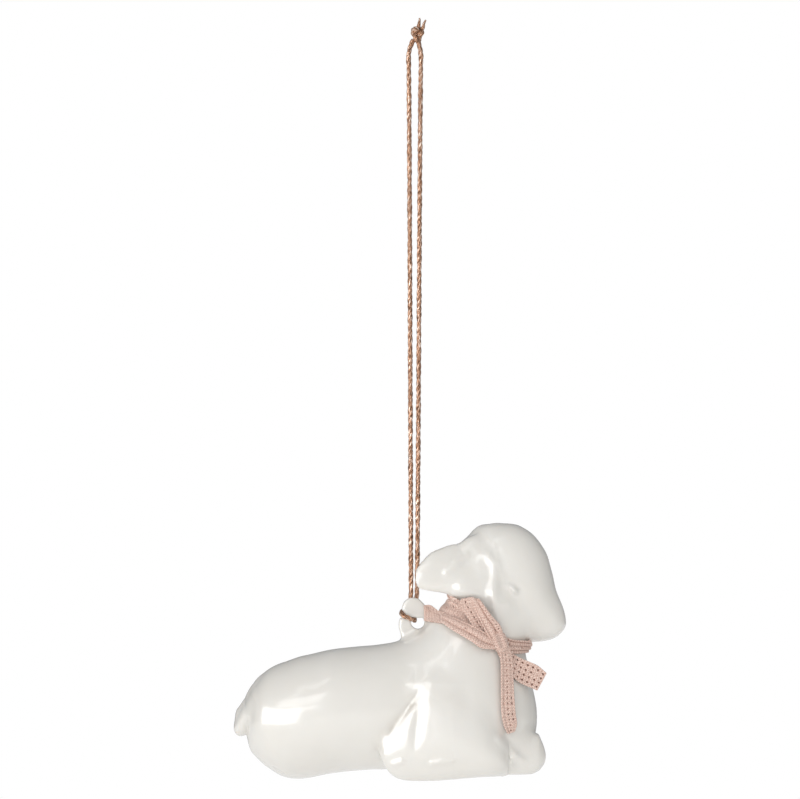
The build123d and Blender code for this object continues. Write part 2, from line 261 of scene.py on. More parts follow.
def stitches(add, place):
    """The height of slanted stitches in columns, roughened by loose fibres."""
    wander = add("TexNoise", {"Vector": place, "Scale": 0.9, "Detail": 2.0})
    offset = add("VectorMath", {0: wander.outputs["Color"], "Scale": 0.55}, operation="SCALE")
    moved = add("VectorMath", {0: place, 1: offset.outputs["Vector"]}, operation="ADD")
    parts = add("SeparateXYZ", {"Vector": moved.outputs["Vector"]}).outputs

    def reckoned(operation, *values):
        return add("Math", dict(enumerate(values)), operation=operation).outputs["Value"]

    fold = reckoned("PINGPONG", parts["X"], STITCH_HALF_WIDTH)
    slant = reckoned("MULTIPLY_ADD", fold, STITCH_SLANT, parts["Y"])
    stitch = reckoned("SINE", reckoned("MULTIPLY", slant, 2 * pi / STITCH_PITCH))
    height = reckoned("MULTIPLY_ADD", noise(add, place, 4.2, 4.0), FIBRE_SHARE, stitch)
    return mapped(add, height, (1.2, 4.8), (0.0, 1.0))


def knit_material():
    """Dusty-pink cotton knit, with painted shade in its folds, in its stitch gaps and on the layer behind
    its holes.
    """
    material, _, shader, add = new_material("pink_knit")
    level = stitches(add, add("TexCoord").outputs["UV"])
    # Painted shade: concave places in the folds are darkened by their pointiness.
    pointed = add("NewGeometry").outputs["Pointiness"]
    fold_shade = mapped(add, pointed, (0.41, 0.51), (0.52, 1.0))
    shaded = mixed(add, 1.0, ramp(add, level, KNIT_GAP_SHADE_TINTS), fold_shade, blend_type="MULTIPLY")
    # The back layer's flag, which colours it dark as painted shade.
    inner = add("Attribute", attribute_name="inner").outputs["Fac"]
    feed(shader, {
        "Base Color": mixed(add, inner, shaded, KNIT_BACK_SHADE),
        "Normal": bumped(add, level, 0.6, 0.00014),
        "Roughness": 0.82,
        "Specular IOR Level": 0.3,
        "Sheen Weight": 0.25,
        "Sheen Roughness": 0.5,
    })
    return material


glaze = porcelain_material()
knit = knit_material()
thread = thread_material()


# Cord: its route is the CAD cord's, and its length is in metres

CORD_DIAMETER = 1.0
CORD_STEP, END_STEP = 0.22, 0.1
CORD_ROUTE = [
    (-0.1, 0.0, 1.6),
    (-1.2, 0.0, -0.3),
    (-0.95, 0.1, -4.5),
    (-0.6, 2.1, -107.5),
    (-0.6, 2.2, -110.9),
    (-2.5, 2.2, -112.9),
    (-2.5, -2.2, -113.3),
    (0.1, -2.2, -114.5),
    (0.1, 2.2, -114.4),
    (0.5, 2.2, -110.6),
    (0.7, 2.1, -107.0),
    (1.28, 0.1, -4.8),
    (1.5, 0.0, -0.5),
    (0.7, 0.0, 1.6),
]
FIRST_END = [(0.9, 0.0, 4.0), (0.95, 0.0, 4.9), (1.2, 0.1, 5.5), (1.06, 0.1, 6.0)]
SECOND_END = [(1.5, -0.2, 3.4), (1.9, -0.3, 4.3), (2.0, -0.2, 5.0), (2.36, -0.1, 5.6)]
KNOT_MIDDLE = np.array([0.7, 0.0, 2.8])
KNOT_REACH = np.array([0.95, 0.8, 1.5])
KNOT_START, KNOT_POINTS = 0.4, 110

# The plies: how many, the twist's length, how far from the middle and how thick
PLIES, TWIST_PITCH = 3, 4.2
PLY_REACH, PLY_RADIUS = 0.20 * CORD_DIAMETER, 0.30 * CORD_DIAMETER
PLY_SIDES = 8
# Slow waves in their thickness: share, radians a millimetre and start
SWELLS = ((0.06, 1.7, 0.4), (0.04, 0.61, 0.0))
# The texture's shift from ply to ply and from line to line
PLY_SHIFT, LINE_SHIFT = (7.0, 13.0), 31.0


def smooth_line(points, step):
    """Points about a step apart along the NURBS line of control points."""
    curve = bpy.data.curves.new("line", "CURVE")
    curve.dimensions = "3D"
    spline = curve.splines.new("NURBS")
    spline.points.add(len(points) - 1)
    for target, point in zip(spline.points, points):
        target.co = (*point, 1.0)
    spline.order_u = 3
    spline.use_endpoint_u = True
    spline.resolution_u = 64
    bare = bpy.data.objects.new("line", curve)
    mesh = bpy.data.meshes.new_from_object(bare)
    line = np.array([v.co for v in mesh.vertices], float)
    bpy.data.meshes.remove(mesh)
    bpy.data.curves.remove(curve)
    along = lengths_along(line)
    at = np.linspace(0.0, along[-1], int(along[-1] / step) + 2)
    return np.stack([np.interp(at, along, line[:, k]) for k in range(3)], axis=1)


def square_ways(line):
    """Two directions square to a line, turned as little as possible."""
    heading = np.gradient(line, axis=0)
    heading /= np.linalg.norm(heading, axis=1)[:, None]
    first = np.cross(heading[0], (0.3, 1.0, 0.1))
    first /= np.linalg.norm(first)
    firsts = [first]
    for way in heading[1:]:
        first = first - way * first.dot(way)
        first = first / np.linalg.norm(first)
        firsts.append(first)
    firsts = np.array(firsts)
    return firsts, np.cross(heading, firsts)


def tube(line, radius, sides):
    """Points, faces and coordinates of a closed tube with a radius at each point."""
    first, second = square_ways(line)
    along = lengths_along(line)
    turn = np.linspace(0, 2 * pi, sides, endpoint=False)
    ring = first[:, None] * np.cos(turn)[None, :, None] + second[:, None] * np.sin(turn)[None, :, None]
    points = (line[:, None] + ring * radius[:, None, None]).reshape(-1, 3)
    uv = np.stack(np.broadcast_arrays(turn[None, :] / 2, along[:, None]), axis=-1).reshape(-1, 2)
    faces = []
    for row in range(len(line) - 1):
        for side in range(sides):
            a, b = row * sides + side, row * sides + (side + 1) % sides
            faces.append((a, b, b + sides, a + sides))
    last = (len(line) - 1) * sides
    faces.append(tuple(reversed(range(sides))))
    faces.append(tuple(range(last, last + sides)))
    return points, faces, uv


def rope(lines, tapers):
    """Points, faces and coordinates of plies that wind round tapered lines."""
    points, faces, uv, count = [], [], [], 0
    for number, (line, taper) in enumerate(zip(lines, tapers)):
        first, second = square_ways(line)
        along = lengths_along(line)
        swell = 1.0
        for share, rate, start in SWELLS:
            swell = swell + share * np.sin(along * rate + start)
        swell = swell * taper
        for ply in range(PLIES):
            angle = 2 * pi * (along / TWIST_PITCH + ply / PLIES) + 0.5 * np.sin(along * 0.37)
            way = first * np.cos(angle)[:, None] + second * np.sin(angle)[:, None]
            centre = line + (PLY_REACH * swell)[:, None] * way
            ply_points, ply_faces, ply_uv = tube(centre, PLY_RADIUS * swell, PLY_SIDES)
            points.append(ply_points)
            faces += [tuple(i + count for i in face) for face in ply_faces]
            uv.append(ply_uv + (ply * PLY_SHIFT[0] + number * LINE_SHIFT, ply * PLY_SHIFT[1]))
            count += len(ply_points)
    return np.concatenate(points), faces, np.concatenate(uv)


def knot_line(share):
    """The line of an overhand knot, drawn in by a share for the second strand."""
    turn = np.linspace(KNOT_START, KNOT_START + 2 * pi, KNOT_POINTS)
    bend = [
        (np.sin(turn) + 2 * np.sin(2 * turn)) / 3,
        -np.sin(3 * turn),
        (np.cos(turn) - 2 * np.cos(2 * turn)) / 3,
    ]
    return KNOT_MIDDLE + KNOT_REACH * np.stack(bend, axis=1) * share


def cut_end(route):
    """A cut end's line and taper."""
    line = smooth_line(route, END_STEP)
    return line, np.linspace(0.85, 0.25, len(line)) ** 0.8


def rope_object(name, lines, tapers):
    """A mesh object of twisted thread."""
    points, faces, uv = rope(lines, tapers)
    return mesh_object(name, points, faces, thread, uv)


cord_line = smooth_line(CORD_ROUTE, CORD_STEP)
cord = rope_object("hanging_thread", [cord_line], [1.0])
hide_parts("cord_strands", "cord_hitch")
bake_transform(cord)

cord_knot = rope_object("thread_knot", [knot_line(1.0), knot_line(0.55)], [1.0, 1.0])
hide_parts("cord_knot")
cord_ends = rope_object("thread_ends", *zip(cut_end(FIRST_END), cut_end(SECOND_END)))
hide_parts("cord_ends")
for piece in (cord_knot, cord_ends):
    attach(piece, "cord")


# Porcelain: one smooth field, negative inside, joined from lofted pieces

DENSE = 1500
TIP_HALF, TIP_REACH = 0.02, 1.0


def monotone(at, rows):
    """A dense smooth reading of rows, without overshoot."""
    step = np.diff(at)
    slope = np.diff(rows, axis=0) / step[:, None]
    tangent = np.zeros_like(rows)
    tangent[0], tangent[-1] = slope[0], slope[-1]
    both = slope[:-1] * slope[1:] > 0
    a, b = 2 * step[1:] + step[:-1], step[1:] + 2 * step[:-1]
    with np.errstate(divide="ignore", invalid="ignore"):
        mean = (a + b)[:, None] / (a[:, None] / slope[:-1] + b[:, None] / slope[1:])
    tangent[1:-1] = np.where(both, mean, 0.0)
    fine = np.linspace(at[0], at[-1], DENSE)
    i = np.clip(np.searchsorted(at, fine, side="right") - 1, 0, len(at) - 2)
    t = ((fine - at[i]) / step[i])[:, None]
    h = step[i][:, None]
    return fine, (
        (1 + 2 * t) * (1 - t) ** 2 * rows[i]
        + t * (1 - t) ** 2 * h * tangent[i]
        + t * t * (3 - 2 * t) * rows[i + 1]
        + t * t * (t - 1) * h * tangent[i + 1]
    )


def with_tip(place, rows, end, near, sign):
    """The rows with a small one past an end, where their rounding closes."""
    here, inward = rows[end, 1], rows[near, 1]
    reach = abs(place[near] - place[end]) * here**2 / max(inward**2 - here**2, 1e-6)
    tip = rows[end].copy()
    tip[1:] = TIP_HALF
    spot = place[end] + sign * min(reach, TIP_REACH)
    if end == 0:
        return np.append(spot, place), np.vstack([tip, rows])
    return np.append(place, spot), np.vstack([rows, tip])


def profile(length, height, width, start, shares):
    """Place, middle, half height and half width along a piece with closed ends."""
    table = np.array([(p, (a + b) / 2, abs(a - b) / 2, w) for p, a, b, w in shares], float)
    place = table[:, 0] * length
    rows = np.stack([table[:, 1] * height, table[:, 2] * height, table[:, 3] * width / 2], axis=1)
    place, rows = with_tip(place, rows, 0, 1, -1)
    place, rows = with_tip(place, rows, -1, -2, 1)
    middle = (place[0] + place[-1]) / 2
    half = (place[-1] - place[0]) / 2
    turn = np.arccos(np.clip((middle - place) / half, -1, 1))
    fine, dense = monotone(turn, rows)
    return start + middle - half * np.cos(fine), dense[:, 0], dense[:, 1], dense[:, 2]


def loft(shape, along, up, side, power=2.0):
    """The distance to a lofted piece, which a power above 2 makes squarer."""
    place, middle, high, wide = shape

    def read(a):
        h = np.interp(a, place, high)
        w = np.interp(a, place, wide)
        rise = np.abs(up - np.interp(a, place, middle)) / h
        spread = np.abs(side) / w
        return rise, spread, h, w, (rise**power + spread**power + 1e-6) ** (1 / power)

    step = 0.04
    rise, spread, h, w, q = read(along)
    around = np.hypot(rise ** (power - 1) / h, spread ** (power - 1) / w) / q ** (power - 1) + 1e-3
    lengthwise = (read(along + step)[4] - read(along - step)[4]) / (2 * step)
    slope = np.hypot(around, np.clip(np.abs(lengthwise), 0, 1.2 * around))
    past = np.maximum(place[0] - along, along - place[-1])
    return np.maximum((q - 1) / slope, past)


def capsule(x, y, z, start, end):
    """The distance to a stick between two ends, each a place and a radius."""
    (place, radius), (end_place, end_radius) = start, end
    a = np.array(place)
    way = np.array(end_place) - a
    t = np.clip(((x - a[0]) * way[0] + (y - a[1]) * way[1] + (z - a[2]) * way[2]) / way.dot(way), 0, 1)
    dx, dy, dz = x - a[0] - t * way[0], y - a[1] - t * way[1], z - a[2] - t * way[2]
    return np.sqrt(dx**2 + dy**2 + dz**2) - radius - t * (end_radius - radius)


def trace(x, z, pixels, heights, width):
    """A soft ridge along pixels, or a groove where heights are below 0."""
    corners = [np.array((photo_x(px), photo_z(py))) for px, py in pixels]
    heights = np.interp(np.linspace(0, 1, len(corners)), np.linspace(0, 1, len(heights)), heights)
    nearest, height = np.full(x.shape, 1e3), np.zeros(x.shape)
    for a, b, start, end in zip(corners, corners[1:], heights, heights[1:]):
        way = b - a
        t = np.clip(((x - a[0]) * way[0] + (z - a[1]) * way[1]) / way.dot(way), 0, 1)
        away = (x - a[0] - t * way[0]) ** 2 + (z - a[1] - t * way[1]) ** 2
        height = np.where(away < nearest, start + t * (end - start), height)
        nearest = np.minimum(nearest, away)
    return height * np.exp(-nearest / width**2)


def joined(a, b, blend):
    """A union whose seam is rounded over a blend length."""
    share = np.clip(0.5 + 0.5 * (b - a) / blend, 0, 1)
    return b + (a - b) * share - blend * share * (1 - share)


def cut(a, b, blend):
    """The first shape with the second taken out, the rim rounded."""
    return -joined(-a, b, blend)


# Length, height, width and start, then each section's place, top, bottom and width as shares

BODY = profile(58.0, 27.3, 27.6, -33.6, [
    (0.000, 0.524, 0.348, 0.14),
    (0.014, 0.612, 0.209, 0.42),
    (0.038, 0.707, 0.143, 0.64),
    (0.076, 0.791, 0.073, 0.78),
    (0.131, 0.846, 0.006, 0.86),
    (0.203, 0.895, -0.006, 0.91),
    (0.306, 0.942, 0.034, 0.94),
    (0.426, 0.967, 0.058, 0.92),
    (0.546, 0.996, 0.055, 0.88),
    (0.667, 1.000, 0.055, 0.87),
    (0.787, 0.963, 0.062, 0.88),
    (0.883, 0.890, 0.084, 0.76),
    (0.949, 0.795, 0.128, 0.58),
    (0.986, 0.656, 0.231, 0.34),
    (1.000, 0.538, 0.348, 0.15),
])
NECK = profile(17.4, 8.7, 16.8, 0.0, [
    (-1.15, 0.60, -0.60, 0.60),
    (-0.69, 1.36, -1.36, 1.30),
    (-0.29, 1.26, -1.26, 1.22),
    (0.00, 1.00, -1.00, 1.00),
    (0.29, 0.86, -0.86, 0.84),
    (0.52, 0.66, -0.66, 0.70),
    (0.70, 0.35, -0.35, 0.40),
])
HEAD = profile(26.8, 16.8, 15.6, 0.0, [
    (-0.306, 0.071, -0.095, 0.21),
    (-0.284, 0.131, -0.167, 0.37),
    (-0.224, 0.274, -0.286, 0.59),
    (-0.127, 0.423, -0.381, 0.82),
    (0.000, 0.488, -0.452, 0.96),
    (0.134, 0.482, -0.488, 1.01),
    (0.284, 0.399, -0.500, 0.97),
    (0.433, 0.295, -0.488, 0.82),
    (0.552, 0.244, -0.387, 0.64),
    (0.634, 0.185, -0.256, 0.50),
    (0.679, 0.119, -0.131, 0.33),
    (0.694, 0.048, -0.060, 0.15),
])
EAR_LENGTH = 14.2
EAR = profile(EAR_LENGTH, 10.4, 2.8, 0.0, [
    (-0.32, 0.060, -0.180, 0.20),
    (-0.22, 0.160, -0.360, 0.50),
    (-0.12, 0.290, -0.450, 0.76),
    (0.00, 0.430, -0.470, 0.94),
    (0.16, 0.510, -0.470, 1.00),
    (0.39, 0.520, -0.460, 1.00),
    (0.56, 0.485, -0.395, 0.94),
    (0.69, 0.445, -0.345, 0.80),
    (0.86, 0.300, -0.260, 0.54),
    (0.96, 0.186, -0.194, 0.32),
    (1.00, 0.010, -0.130, 0.20),
])
FORELEG = profile(25.6, 20.4, 9.4, -6.9, [
    (0.000, 0.420, 0.265, 0.16),
    (0.043, 0.510, 0.140, 0.50),
    (0.105, 0.630, 0.050, 0.61),
    (0.184, 0.760, 0.010, 0.69),
    (0.277, 0.900, 0.000, 0.78),
    (0.395, 1.000, 0.000, 0.88),
    (0.535, 0.960, 0.010, 0.97),
    (0.668, 0.820, 0.025, 1.00),
    (0.800, 0.630, 0.040, 0.97),
    (0.918, 0.440, 0.060, 0.78),
    (0.980, 0.300, 0.100, 0.48),
    (1.000, 0.225, 0.137, 0.14),
])
HOOF = profile(15.4, 8.2, 7.2, 10.8, [
    (0.00, 0.90, 0.20, 0.70),
    (0.30, 1.00, 0.04, 1.00),
    (0.60, 1.00, 0.00, 0.94),
    (0.80, 1.00, 0.01, 0.80),
    (0.91, 0.97, 0.09, 0.62),
    (0.96, 0.79, 0.19, 0.40),
    (1.00, 0.56, 0.34, 0.12),
])
TAIL = profile(13.3, 4.4, 7.8, 0.0, [
    (0.28, 0.16, -0.24, 0.50),
    (0.40, 0.34, -0.38, 1.10),
    (0.50, 0.46, -0.46, 1.30),
    (0.62, 0.50, -0.50, 1.40),
    (0.85, 0.42, -0.42, 0.90),
    (0.96, 0.26, -0.26, 0.50),
    (1.00, 0.09, -0.09, 0.16),
])
HEAD_POWER, FORELEG_POWER, HOOF_POWER = 2.3, 2.2, 2.4

# Where the pieces start in X and Z, and their turns
NECK_START, NECK_LEAN = (14.4, PIVOT[2] - 6.1), radians(26.0)
HEAD_START, HEAD_PITCH = (17.6, PIVOT[2] + 6.6), radians(52.8)
TAIL_X, TAIL_Z, TAIL_HALF, TAIL_SLOPE = -31.9, BASE_Z + 14.4, 6.5, radians(60.4)
TAIL_START = (TAIL_X + TAIL_HALF * cos(TAIL_SLOPE), TAIL_Z + TAIL_HALF * sin(TAIL_SLOPE))
EAR_START = (14.2, 5.9, PIVOT[2] + 5.8)
EAR_DROOP, EAR_SPLAY, EAR_ROLL = radians(11.3), radians(6.0), radians(22.0)
# The ear's root bends inward, and its roll is mostly gone at the tip
EAR_BEND, EAR_BEND_START, EAR_BEND_REACH = 0.14, 1.5, 7.0
EAR_ROLL_LOST = 0.8
# The forelegs and hooves: how far out, how high and where the leg runs in
FORELEG_SIDE, FORELEG_RAISED = 9.4, -0.4
INWARD_SHARE, INWARD_FROM = 0.10, 8.0
HOOF_SIDE, HOOF_RAISED = 4.7, 0.7

# Rounded fillings, each end a place and a radius
CHEEK = (
    ((9.7, 5.0, photo_z(588)), 2.8),
    ((14.0, 4.8, photo_z(600)), 3.6),
    ((17.6, 4.6, photo_z(620)), 3.6),
)
NAPE = (((11.6, 0.0, photo_z(548)), 1.9), ((11.6, 3.6, photo_z(548)), 1.8))
CROUP = (((-29.4, 0.0, photo_z(693)), 3.0), ((-33.4, 0.0, photo_z(714.5)), 1.8))

# The eyelet: each round a place in X and Z and a radius
EYELET_LOBE = (np.array([-0.2, PIVOT[2] - 2.9]), 2.2)
EYELET_RING = (np.array([0.74, PIVOT[2] - 6.2]), 3.8)
EYELET_WAIST = ((-2.75, PIVOT[2] - 4.0), 0.8)
EYELET_HOLE, EYELET_HOLE_TOP = ((0.74, PIVOT[2] - 5.6), 1.35), PIVOT[2] - 4.75
EYELET_HALF, EYELET_RIM = 1.5, 0.5
AIR_HOLE_X, AIR_HOLE_RADIUS, AIR_HOLE_TOP = -4.6, 1.5, BASE_Z + 7.6

# The roundings between the pieces
NECK_BLEND, HOOF_BLEND, CROUP_BLEND = 4.2, 2.6, 1.6
EAR_BLEND, NAPE_BLEND, CHEEK_BLEND, CHEEK_BEND = 3.0, 2.0, 2.8, 0.6
EYELET_BLEND, FACE_BLEND = 1.6, 2.4
HOLE_RIM, AIR_HOLE_RIM, WAIST_RIM = 0.3, 0.5, 0.3
# The tail's and the foreleg's grow away from their creases, each over a length
TAIL_BLEND, TAIL_GROWS = 1.0, 1.6
TAIL_TOP_Z, TAIL_TOP_REACH = photo_z(728), 3.0
LEG_BLEND, LEG_GROWS = 1.0, 2.0
LEG_FRONT_X, LEG_TOP_Z, LEG_FOOT_Z = 4.0, photo_z(702), photo_z(756)
LEG_FRONT_REACH, LEG_TOP_REACH, LEG_FOOT_REACH = 8.0, 4.0, 3.0
CREASE_WIDTH = 0.5

# Soft ridges and grooves: the photograph's pixels, heights along them, width
EAR_BASE = (
    [(480, 551), (488, 555), (494, 563), (495, 576), (493.5, 590), (494, 606)],
    (0.10, 0.45, 0.50, 0.45, 0.40, 0.30), 1.1,
)
JAW = ([(499, 592), (500, 603), (498, 619)], (0.30, 0.50, 0.20), 1.8)
EAR_FOLD = ([(466, 554), (457, 562), (447, 571)], (0.20, 0.40, 0.20), 0.8)
EAR_VALLEY = ([(471, 562), (463, 572), (452, 588)], (-0.05, -0.15), 1.3)
KNEE = ([(499, 737), (511, 750), (524, 762)], (0.35, 0.50, 0.30), 0.9)
EYELID = ([(504.8, 586.2), (508.5, 585.5), (511.8, 587.3), (514.8, 590.8)], (0.10, 0.75), 0.58)
REAR_GROOVE = ([(386, 748), (395, 724), (410, 702), (426, 684)], (-0.10, -0.35, -0.35, -0.10), 0.9)
MIDDLE_GROOVE = ([(414, 750), (416, 728), (420, 706)], (-0.05, -0.35, -0.10), 0.9)
REAR_RIDGE = ([(393, 763), (402, 760)], (0.25, 0.25), 0.6)
NEAR_RIDGE = ([(431, 762), (451, 759)], (0.25, 0.25), 0.6)
TRACES = [
    EAR_BASE, JAW, EAR_FOLD, EAR_VALLEY, KNEE, EYELID,
    REAR_GROOVE, MIDDLE_GROOVE, REAR_RIDGE, NEAR_RIDGE,
]
# How far from the middle they start to show, and over what length
RELIEF_FROM, RELIEF_FADE = 3.0, 2.0


def relief(x, y, z):
    """The low ridges and grooves of the ear, jaw, closed eye and foreleg."""
    height = sum(trace(x, z, *row) for row in TRACES)
    return height * np.clip((y - RELIEF_FROM) / RELIEF_FADE, 0, 1)


def in_plane(x, z, start, turn):
    """Places along and above a line turned down from +X at its start."""
    dx, dz = x - start[0], z - start[1]
    return dx * cos(turn) - dz * sin(turn), dx * sin(turn) + dz * cos(turn)


def eyelet_outline(x, z):
    """The distance to the lobe and ring seen from the side, less the waist."""
    (lobe, lobe_radius), (ring, ring_radius) = EYELET_LOBE, EYELET_RING
    way = lobe - ring
    long = np.hypot(*way)
    way = way / long
    dx, dz = x - ring[0], z - ring[1]
    along = dx * way[0] + dz * way[1]
    across = np.abs(dx * way[1] - dz * way[0])
    lean = (ring_radius - lobe_radius) / long
    upright = sqrt(1 - lean**2)
    t = -across * lean + along * upright
    tangent = across * upright + along * lean - ring_radius
    past_lobe = np.where(t > long * upright, np.hypot(across, along - long) - lobe_radius, tangent)
    outline = np.where(t < 0, np.hypot(across, along) - ring_radius, past_lobe)
    (waist_x, waist_z), waist_radius = EYELET_WAIST
    return cut(outline, np.hypot(x - waist_x, z - waist_z) - waist_radius, WAIST_RIM)


def eyelet_distance(x, y, z):
    """The flat lug over the withers, and its flat-topped hole."""
    far = eyelet_outline(x, z) + EYELET_RIM
    deep = np.abs(y) - EYELET_HALF + EYELET_RIM
    inside = np.minimum(np.maximum(far, deep), 0)
    slab = inside + np.hypot(np.maximum(far, 0), np.maximum(deep, 0)) - EYELET_RIM
    (hole_x, hole_z), hole_radius = EYELET_HOLE
    return slab, np.maximum(np.hypot(x - hole_x, z - hole_z) - hole_radius, z - EYELET_HOLE_TOP)


def ear_distance(x, y, z):
    """The distance to the ear, which hangs back, splays and rolls."""
    axis = np.array([-cos(EAR_DROOP) * cos(EAR_SPLAY), sin(EAR_SPLAY), -sin(EAR_DROOP) * cos(EAR_SPLAY)])
    upright = np.array([-sin(EAR_DROOP), 0, cos(EAR_DROOP)])
    square = np.cross(axis, upright)
    square /= np.linalg.norm(square)
    upright = np.cross(square, axis)
    away = np.stack(np.broadcast_arrays(x - EAR_START[0], y - EAR_START[1], z - EAR_START[2]), axis=-1)
    away[..., 1] += EAR_BEND * np.clip(EAR_BEND_START - away @ axis, 0, EAR_BEND_REACH) ** 2
    along, up, out = away @ axis, away @ upright, away @ square
    roll = EAR_ROLL * (1 - EAR_ROLL_LOST * np.clip(along / EAR_LENGTH, 0, 1))
    up, out = up * np.cos(roll) - out * np.sin(roll), out * np.cos(roll) + up * np.sin(roll)
    return loft(EAR, along, up, out)


def face_distance(x, y, z):
    """The head with an ear, the nape behind it and the cheek under it."""
    head = loft(HEAD, *in_plane(x, z, HEAD_START, HEAD_PITCH), y, HEAD_POWER)
    cheek = joined(
        capsule(x, y, z, CHEEK[0], CHEEK[1]),
        capsule(x, y, z, CHEEK[1], CHEEK[2]),
        CHEEK_BEND,
    )
    face = joined(head, ear_distance(x, y, z), EAR_BLEND)
    face = joined(face, capsule(x, y, z, *NAPE), NAPE_BLEND)
    return joined(face, cheek, CHEEK_BLEND)


def torso_distance(x, y, z):
    """The body with the neck and the hooves."""
    body = loft(BODY, x, z - BASE_Z, y)
    neck = loft(NECK, *in_plane(x, z, NECK_START, NECK_LEAN - pi / 2), y)
    hoof = loft(HOOF, x, z - BASE_Z - HOOF_RAISED, y - HOOF_SIDE, HOOF_POWER)
    return joined(joined(body, neck, NECK_BLEND), hoof, HOOF_BLEND)


def porcelain(x, y, z):
    """How far points lie outside the porcelain, and how deep in a crease."""
    y = np.abs(y)
    torso, face = torso_distance(x, y, z), face_distance(x, y, z)
    slab, hole = eyelet_distance(x, y, z)
    along, down = in_plane(x, z, TAIL_START, pi - TAIL_SLOPE)
    tail = loft(TAIL, along, -down, y)
    tail_soft = np.clip((z - TAIL_TOP_Z) / TAIL_TOP_REACH, 0, 1)
    tail_blend = TAIL_BLEND + TAIL_GROWS * tail_soft
    trunk = joined(joined(torso, tail, tail_blend), capsule(x, y, z, *CROUP), CROUP_BLEND)
    inward = np.clip(INWARD_SHARE * (x - INWARD_FROM), 0, 1.0)
    leg_z, leg_y = z - BASE_Z - FORELEG_RAISED, y - FORELEG_SIDE + inward
    foreleg = loft(FORELEG, x, leg_z, leg_y, FORELEG_POWER)
    above, below = (z - LEG_TOP_Z) / LEG_TOP_REACH, (LEG_FOOT_Z - z) / LEG_FOOT_REACH
    leg_soft = np.maximum((x - LEG_FRONT_X) / LEG_FRONT_REACH, np.maximum(above, below))
    whole = joined(trunk, foreleg, LEG_BLEND + LEG_GROWS * np.clip(leg_soft, 0, 1))
    whole = joined(joined(whole, slab, EYELET_BLEND), face, FACE_BLEND)
    pairs = ((trunk, foreleg), (torso, tail), (trunk, slab), (trunk, face))
    # How near a crease between pieces, later painted into the glaze as pooling and shade.
    crease = np.exp(-np.minimum.reduce([np.abs(a) + np.abs(b) for a, b in pairs]) / CREASE_WIDTH)
    air_hole = np.maximum(np.hypot(x - AIR_HOLE_X, y) - AIR_HOLE_RADIUS, z - AIR_HOLE_TOP)
    whole = cut(cut(whole, hole, HOLE_RIM), air_hole, AIR_HOLE_RIM)
    return whole - relief(x, y, z), crease


# The porcelain's mesh: a net over the field's grid, drawn onto the field

CORNERS = [np.array((i, j, k)) for i in (0, 1) for j in (0, 1) for k in (0, 1)]
CELL_EDGES = [(a, b) for a in CORNERS for b in CORNERS if (b - a).min() >= 0 and (b - a).sum() == 1]
GRID, BLOCK = 0.28, 4
GRID_LOW, GRID_HIGH = np.array([-37.4, -15.6, -148.4]), np.array([31.6, 0.0, -94.0])
FAR_OFF = 3.0
BATCH = 4000
GRADE_STEP = 0.05
PULLS, PULL_LIMIT, LEAST_GRADE = 2, 0.2, 0.2
# How much of the crease mask is painted into the glaze as pooling and shade.
POOLED_SHADE_SHARE = 0.8


def crossed_cells(inside):
    """Which cells of a grid the surface passes through."""
    across, deep, high = np.array(inside.shape) - 1
    count = sum(inside[i : i + across, j : j + deep, k : k + high].astype(np.int8) for i, j, k in CORNERS)
    return (count > 0) & (count < 8)


def cell_points(values, cells):
    """The middle of each cell's crossed edges, in grid steps."""
    total, hits = np.zeros((len(cells), 3)), np.zeros(len(cells))
    for a, b in CELL_EDGES:
        va = values[tuple((cells + a).T)]
        vb = values[tuple((cells + b).T)]
        crossing = (va < 0) != (vb < 0)
        t = np.where(crossing, va / np.where(crossing, va - vb, 1.0), 0.0)
        total += (a + t[:, None] * (b - a)) * crossing[:, None]
        hits += crossing
    return cells + total / hits[:, None]


def quads_along(axis, inside, index):
    """The outward quads round the crossed edges along an axis."""
    shape = index.shape
    one, two = (axis + 1) % 3, (axis + 2) % 3
    first, second = [slice(None)] * 3, [slice(None)] * 3
    first[axis], second[axis] = slice(0, -1), slice(1, None)
    at = np.argwhere(inside[tuple(first)] != inside[tuple(second)])
    at = at[(at[:, one] > 0) & (at[:, two] > 0) & (at[:, one] < shape[one]) & (at[:, two] < shape[two])]
    b, c = np.eye(3, dtype=int)[[one, two]]
    around = np.stack([index[tuple((at - move).T)] for move in (0 * b, b, b + c, c)], axis=1)
    outward = inside[tuple(at.T)]
    return np.where(outward[:, None], around, around[:, ::-1])


def surface_net(values, low, step):
    """The points and outward quads of a grid's zero surface."""
    inside = values < 0
    active = crossed_cells(inside)
    cells = np.argwhere(active)
    index = np.full(active.shape, -1, np.int64)
    index[active] = np.arange(len(cells))
    quads = [quads_along(axis, inside, index) for axis in range(3)]
    return low + step * cell_points(values, cells), np.concatenate(quads)


def slopes(points):
    """The field, its crease depth and its slope at points."""
    value, crease = porcelain(*points.T)
    grade = [
        (porcelain(*(points + move).T)[0] - porcelain(*(points - move).T)[0]) / (2 * GRADE_STEP)
        for move in np.eye(3) * GRADE_STEP
    ]
    return value, crease, np.stack(grade, axis=1)


def near_half_grid():
    """The near half's grid of the field, fine only near the surface."""
    counts = np.ceil((GRID_HIGH - GRID_LOW) / (GRID * BLOCK)).astype(int) * BLOCK
    low = np.array([GRID_LOW[0], -GRID * (counts[1] - 1), GRID_LOW[2]])
    middles = [low[k] + GRID * (np.arange(0, counts[k], BLOCK) + (BLOCK - 1) / 2) for k in range(3)]
    values = porcelain(*np.meshgrid(*middles, indexing="ij"))[0]
    close = np.argwhere(np.abs(values) < FAR_OFF) * BLOCK
    for k in range(3):
        values = np.repeat(values, BLOCK, axis=k)
    inner = np.stack(np.meshgrid(*[np.arange(BLOCK)] * 3, indexing="ij"), axis=-1).reshape(-1, 3)
    for first in range(0, len(close), BATCH):
        index = (close[first : first + BATCH, None] + inner[None]).reshape(-1, 3)
        values[tuple(index.T)] = porcelain(*(low + GRID * index).T)[0]
    return low, values


